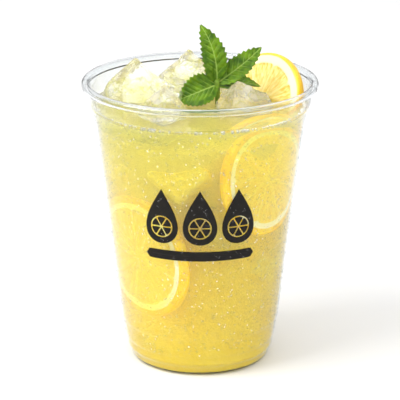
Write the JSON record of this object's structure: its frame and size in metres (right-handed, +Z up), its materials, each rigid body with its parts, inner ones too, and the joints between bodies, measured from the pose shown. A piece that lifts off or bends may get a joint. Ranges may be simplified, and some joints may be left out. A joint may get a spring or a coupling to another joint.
{
  "type": "cup of lemonade",
  "caption": "Clear tapered drinks cup with a rolled rim and stepped foot, filled with cloudy lemonade, ice, a lemon slice and a mint sprig.",
  "frame": {"origin": "centre of the cup's foot, on the surface that it stands on", "axes": "+Z up along the cup's axis, the front of the drink faces -Y, the lemon slice stands at the back right (+X, +Y)"},
  "size_m": [0.098, 0.098, 0.1404],
  "materials": {
    "clear_sheet": "clear gloss",
    "drink": "cloudy, wet",
    "lemon": "moist",
    "mint": "satin leaf",
    "ice": "clear, wet"
  },
  "bodies": {
    "root": {"cup": "clear_sheet", "lemonade": "drink", "lemon_slice": "lemon", "mint_sprig": "mint", "ice_1": "ice", "ice_2": "ice", "ice_3": "ice", "ice_4": "ice", "ice_5": "ice"}
  },
  "joints": []
}
